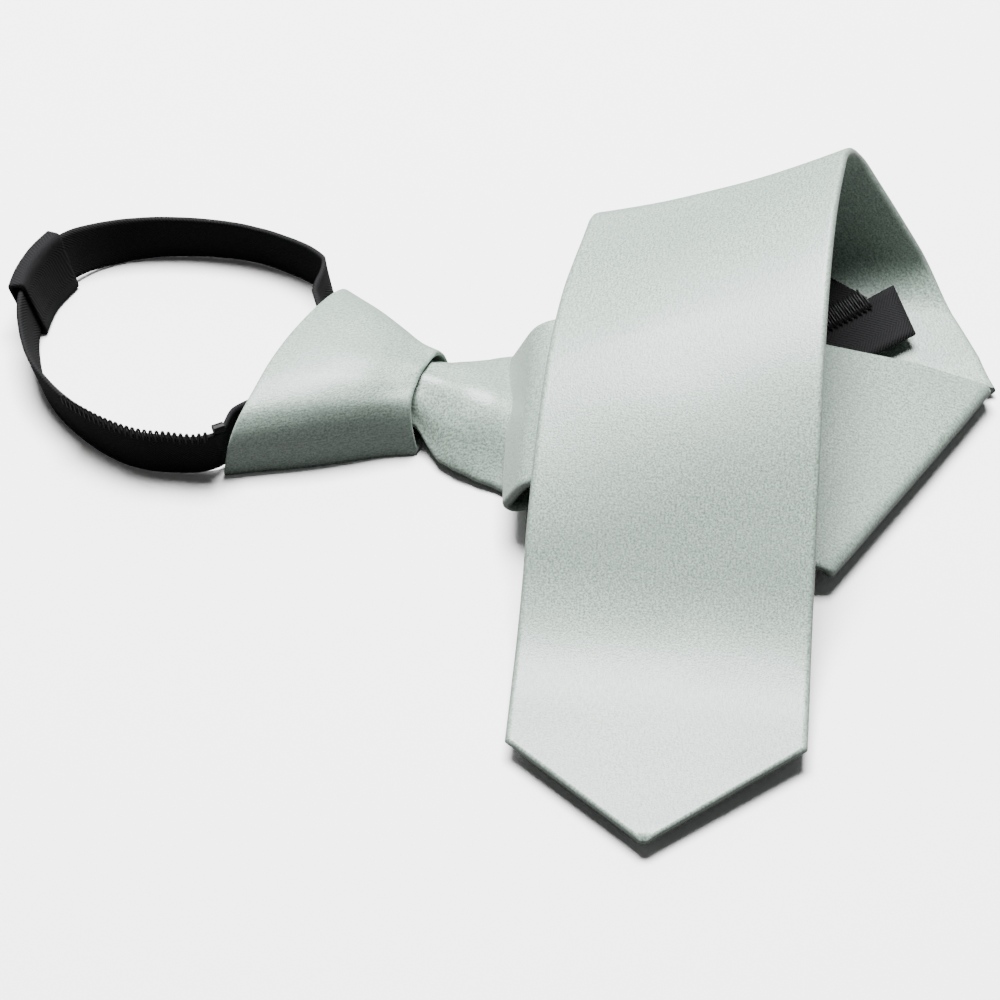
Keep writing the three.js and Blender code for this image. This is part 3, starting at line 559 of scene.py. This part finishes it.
# ---- the knot: a satin wrap, hollow and open at both ends --------------------------------
def make_knot():
    rows = 40
    turns = 72
    rings, flats = [], []
    shape = [spline(CROWN, j / (turns - 1)) for j in range(turns)]
    floor = [(1 - (j + 1) / 19, 0.0, 0.0) for j in range(18)]
    outline = [(min(max(p[0], 0), 1), max(p[1], 0), p[2]) for p in shape] + floor

    def ring(t, inset):
        x, y, turn, half, top, wall, back, cut = spline(KNOT, t, 8)
        inset = inset * wall
        a = math.radians(turn)
        d = np.array([math.cos(a), math.sin(a), 0])
        base = np.array([x, y, 0.0])
        away = np.array([math.sin(a), -math.cos(a), 0.0])
        return [base + d * ((c[0] * 2 - 1) * (half - inset))
                + np.array([0, 0, inset + c[1] * (top - 2 * inset)])
                + away * (cut * c[2] - back * c[1]) for c in outline]
    # outside from the wide end to the narrow one, round its lip, back inside, round the wide lip
    path = [(0.0, 0.5), (0.0, 0.22), (0.006, 0.05)]
    path += [(0.015 + 0.965 * i / rows, 0.0) for i in range(rows + 1)]
    path += [(0.992, 0.06), (1.0, 0.3), (1.0, 0.7), (0.99, 1.0)]
    path += [(0.975 - 0.96 * i / 12, 1.0) for i in range(13)]
    path += [(0.0, 0.8)]
    for t, inset in path:
        rings.append(ring(t, inset))
    rings = np.array(rings)
    m, n = rings.shape[:2]
    run = np.cumsum(np.r_[0, np.linalg.norm(np.diff(rings[:, n // 3], axis=0), axis=1)])
    for i in range(m):
        girth = np.r_[0, np.cumsum(np.linalg.norm(np.diff(rings[i], axis=0), axis=1))]
        flats.append([(g - 40, run[i]) for g in girth])
    # the outside, gathered softly towards the narrow end
    for i in range(m):
        t, inset = path[i]
        if inset > 0.4:
            continue
        for j in range(len(shape)):
            c = outline[j]
            if c[1] < 0.2:
                continue
            u = c[0]
            pull = 0.45 * t ** 2 * math.sin(u * 17 + 2 * noise.noise(Vector((t * 3, u * 4, 2.0))))
            swell = 0.35 * noise.noise(Vector((t * 2.2, u * 3.0, 9.0)))
            rings[i, j, 2] += (pull + swell) * min(1, (c[1] - 0.2) * 3)
    knot = cloth_sleeve("satin_knot", rings, flats, np.ones(m * n))
    knot.data.materials.append(SATIN)
    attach(knot, "root")
    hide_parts("knot_shell")
    return knot


# ---- the zip tapes of the neck loop, standing on edge -------------------------------------
def leaning(rows, t):
    """A place on a tape that leans: the ways up its slope, out of its face and along it."""
    p = spline(rows, t)
    p[2] = max(p[2], 0)
    d = heading(rows, t)
    d = np.array([d[0], d[1], 0]) / math.hypot(d[0], d[1])
    out = np.array([-d[1], d[0], 0.0])
    a = math.radians(sampled(rows, t, 3))
    up = out * math.sin(a) + np.array([0, 0, math.cos(a)])
    side = out * math.cos(a) - np.array([0, 0, math.sin(a)])
    return p, up, side, d


def station(rows, t):
    """The same, lifted so that the lower corner of the tape clears the table."""
    p, up, side, d = leaning(rows, t)
    return p + np.array([0, 0, abs(side[2]) * TAPE / 2 + 0.02]), up, side, d


def length_of(rows, lift=0.0):
    """How far along the tape each 200th of it is, at a height up its slope."""
    pts = [station(rows, i / 200)[0] + station(rows, i / 200)[1] * lift for i in range(201)]
    steps = np.linalg.norm(np.diff(pts, axis=0), axis=1)
    return np.r_[0, np.cumsum(steps)]


def make_tape(name, rows, cad):
    along = 150
    rings, flats = [], []
    run = length_of(rows, TAPE_WIDTH / 2)
    cols = np.linspace(0, 1, 13)
    h = TAPE / 2
    for i in range(along + 1):
        t = i / along
        foot, up, side, d = station(rows, t)
        s = np.interp(t * 200, range(201), run)
        pts, fl = [], []
        for c in cols:
            u = 0.2 + c * (TAPE_WIDTH - 0.4)
            # a narrow tape on edge buckles a little between its ends
            b = 0.12 * noise.noise(Vector((s / 11, u / 9, 4.0)))
            pts.append(foot + up * u + side * (h + b))
            fl.append((u, s))
        pts.append(foot + up * TAPE_WIDTH)
        fl.append((TAPE_WIDTH, s))
        for c in cols[::-1]:
            u = 0.2 + c * (TAPE_WIDTH - 0.4)
            b = 0.12 * noise.noise(Vector((s / 11, u / 9, 4.0)))
            pts.append(foot + up * u + side * (-h + b))
            fl.append((u, s))
        pts.append(foot)
        fl.append((0, s))
        rings.append(pts)
        flats.append(fl)
    tape = cloth_strip(name, rings, flats)
    tape.data.materials.append(TAPE_CLOTH)
    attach(tape, "root")
    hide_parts(cad)
    return tape


def make_tab():
    rings_out, rings_in = [], []
    steps, n = 30, 44
    for inset, store in ((0.0, rings_out), (TAB_WALL, rings_in)):
        for i in range(steps + 1):
            t = i / steps
            p, up, side, _ = leaning(TAB, t)
            ring = []
            for j in range(n):
                ang = 2 * math.pi * (j + 0.5) / n
                cx, cy = math.cos(ang), math.sin(ang)
                ex = math.copysign(abs(cx) ** TAB_SQUARE, cx)
                ey = math.copysign(abs(cy) ** TAB_SQUARE, cy)
                s = ex * (TAB_DEPTH / 2 - inset) + TAB_SHIFT
                base = p + side * s
                low = (inset - base[2]) / up[2]
                high = TAB_HEIGHT - inset
                if inset == 0:
                    pinch = 0.5 * (1 - ey * ey) + 0.25 * noise.noise(Vector((t * 3, ang, 1.0)))
                    base = base - side * math.copysign(pinch, ex) * 0.8 * abs(ex)
                ring.append(base + up * (low + (high - low) * (ey + 1) / 2))
            store.append(ring)
    rings = np.array([rings_in[0]] + rings_out + rings_in[::-1][:-1])
    m = len(rings)
    run = np.cumsum(np.r_[0, np.linalg.norm(np.diff(rings[:, 0], axis=0), axis=1)])
    flats = [[(j * 1.1, run[i]) for j in range(n)] for i in range(m)]
    tab = cloth_sleeve("sleeve_tab", rings, flats)
    tab.data.materials.append(TAPE_CLOTH)
    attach(tab, "root")
    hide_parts("back_tab")
    return tab


# ---- the coil: one loop of monofilament, copied tooth by tooth -----------------------------
def coil_loop():
    """One tooth: a hairpin of 0.5 mm nylon with a broad head. Head at +X, legs to -X,
    standing off +Z, one pitch wide. Millimetres."""
    path = [(-2.1, -0.30, 0.26), (-0.9, -0.27, 0.30), (0.3, -0.20, 0.42), (0.86, -0.11, 0.56),
            (1.02, 0.0, 0.68), (0.86, 0.11, 0.80), (0.3, 0.20, 0.86), (-0.9, 0.25, 0.86), (-2.1, 0.27, 0.80)]
    r, n = 0.25, 6
    verts, faces = [], []
    pts = [np.array(p) for p in path]
    for i, p in enumerate(pts):
        d = pts[min(i + 1, len(pts) - 1)] - pts[max(i - 1, 0)]
        d /= np.linalg.norm(d)
        a = np.cross(d, (0, 0, 1.0))
        a /= max(np.linalg.norm(a), 1e-6)
        b = np.cross(a, d)
        for j in range(n):
            g = 2 * math.pi * j / n
            verts.append(p + a * math.cos(g) * r + b * math.sin(g) * r)
    m = len(pts)
    for i in range(m - 1):
        for j in range(n):
            k = (j + 1) % n
            faces.append((i * n + j, i * n + k, (i + 1) * n + k, (i + 1) * n + j))
    faces.append(tuple(range(n))[::-1])
    faces.append(tuple((m - 1) * n + j for j in range(n)))
    return np.array(verts), faces


def make_coil(name, frames, cad):
    """A row of teeth, each a copy of the one loop. frames gives each tooth's place, the way its
    head points, the way along the tape and the way off it."""
    verts, faces = coil_loop()
    all_v, all_f = [], []
    for o, head, along, away in frames:
        base = len(all_v)
        all_v.extend((o + head * p[0] + along * p[1] + away * p[2]) for p in verts)
        all_f.extend(tuple(base + k for k in f) for f in faces)
    piece = new_piece(name, all_v, all_f)
    piece.data.materials.append(COIL_NYLON)
    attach(piece, "root")
    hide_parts(cad)
    return piece


def loop_coil(name, rows, coil, cad):
    start, end, past = coil
    run = length_of(rows, TAPE_WIDTH)
    a, b = np.interp([start * 200, end * 200], range(201), run)
    frames = []
    for i in range(int((b - a) / PITCH)):
        t = float(np.interp(a + (i + 0.5) * PITCH, run, range(201))) / 200
        foot, up, side, d = station(rows, t)
        frames.append((foot + up * (TAPE_WIDTH + past - 1.0) + side * (TAPE / 2 + 0.02), up, d, side))
    return make_coil(name, frames, cad)


# ---- the closed zip's tail -------------------------------------------------------------------
def tail_station(t):
    p = spline(TAIL, t)
    d = heading(TAIL, t)
    flat = np.array([d[1], -d[0], 0.0])
    flat /= np.linalg.norm(flat)
    up = np.cross(flat, d)
    up /= np.linalg.norm(up)
    r = math.radians(sampled(TAIL, t, 4))
    right = flat * math.cos(r) - up * math.sin(r)
    return p, d, right, np.cross(right, d), sampled(TAIL, t, 3)


def make_tail(name, half, cad):
    steps = 110
    rings, flats = [], []
    cols = np.linspace(0, 1, 9)
    run = 0.0
    before = None
    for i in range(steps + 1):
        t = i / steps
        p, d, right, up, width = tail_station(t)
        if before is not None:
            run += np.linalg.norm(p - before)
        before = p
        inner, outer = TAIL_ENDS[half]
        stretch = max(0.0, (t - 25 / 26) * 26)       # the cut end, splayed
        pts, fl = [], []
        for s, order in ((1, cols), (-1, cols[::-1])):
            for c in order:
                v = SEAT / 2 + c * (width / 2 - SEAT / 2)
                reach = (inner * (1 - c) + outer * c) * stretch
                pts.append(p + right * v * half + up * (s * TAPE / 2) + d * reach)
                fl.append((v, run + reach))
        rings.append(pts)
        flats.append(fl)
    tape = cloth_strip(name, rings, flats)
    tape.data.materials.append(TAPE_CLOTH)
    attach(tape, "root")
    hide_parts(cad)
    return tape


def tail_coil():
    pts = np.array([tail_station(i / 300)[0] for i in range(301)])
    run = np.r_[0, np.cumsum(np.linalg.norm(np.diff(pts, axis=0), axis=1))]
    frames = []
    count = int(run[-1] / (PITCH / 2)) - 1
    for i in range(count):
        t = float(np.interp((i + 0.5) * PITCH / 2, run, range(301))) / 300
        p, d, right, up, width = tail_station(t)
        half = 1 if i % 2 else -1
        frames.append((p + up * (TAPE / 2 + 0.02) + right * half * 0.45, -right * half, d, up))
    return make_coil("tail_coil", frames, "zip_tail_teeth")


blade = make_blade()
knot = make_knot()
near_tape = make_tape("near_tape", NEAR_TAPE, "zip_tape_near")
far_tape = make_tape("far_tape", FAR_TAPE, "zip_tape_far")
tab = make_tab()
near_coil = loop_coil("near_coil", NEAR_TAPE, NEAR_COIL, "zip_teeth_near")
far_coil = loop_coil("far_coil", FAR_TAPE, FAR_COIL, "zip_teeth_far")
tail_near = make_tail("tail_near", 1, "zip_tail_near")
tail_far = make_tail("tail_far", -1, "zip_tail_far")
teeth = tail_coil()

for cad in ("zip_slider", "zip_stop"):                   # these two keep the solids of the CAD
    o = bpy.data.objects[cad]
    for i in range(max(1, len(o.material_slots))):
        if not o.material_slots:
            o.data.materials.append(ENAMEL)
        o.material_slots[i].material = ENAMEL

# ---- floor and light -----------------------------------------------------------------------
select_nothing()
bpy.ops.mesh.primitive_plane_add(size=6, location=(0, 0, -0.0002))
floor = bpy.context.object
floor.name = "floor"
paper, tree = new_material("white seamless paper")
fleck = add(tree, "ShaderNodeTexNoise", {"Scale": 8.0}).outputs["Fac"]
white = add(tree, "ShaderNodeMix", {"Factor": fleck, "A": linear("#FAFAFA"), "B": linear("#FDFDFD")},
            data_type="RGBA")
# the paper throws less light back up than it shows, so that the shaded sides stay deep
seen = add(tree, "ShaderNodeLightPath").outputs["Is Camera Ray"]
tint = add(tree, "ShaderNodeMix", {"Factor": seen, "A": linear("#636363"), "B": white.outputs["Result"]},
           data_type="RGBA")
finish_material(tree, add(tree, "ShaderNodeBsdfPrincipled", {
    "Base Color": tint.outputs["Result"], "Roughness": 0.9, "Specular IOR Level": 0.1}))
floor.data.materials.append(paper)

world = bpy.context.scene.world or bpy.data.worlds.new("studio")
bpy.context.scene.world = world
world.use_nodes = True
world.node_tree.nodes["Background"].inputs[0].default_value = (1.0, 1.0, 1.0, 1.0)
world.node_tree.nodes["Background"].inputs[1].default_value = 0.09


def area_light(name, place, aim, size, power):
    bpy.ops.object.light_add(type="AREA", location=place)
    lamp = bpy.context.object
    lamp.name = name
    lamp.rotation_euler = (Vector(aim) - Vector(place)).to_track_quat("-Z", "Y").to_euler()
    lamp.data.shape, lamp.data.size, lamp.data.size_y = "RECTANGLE", size[0], size[1]
    lamp.data.energy = power


area_light("top_softbox", (-0.05, 0.35, 1.17), (0, 0.02, 0), (0.66, 0.44), 84)
area_light("back_softbox", (-0.1, 0.9, 0.7), (0, 0.02, 0), (1.0, 0.5), 5)
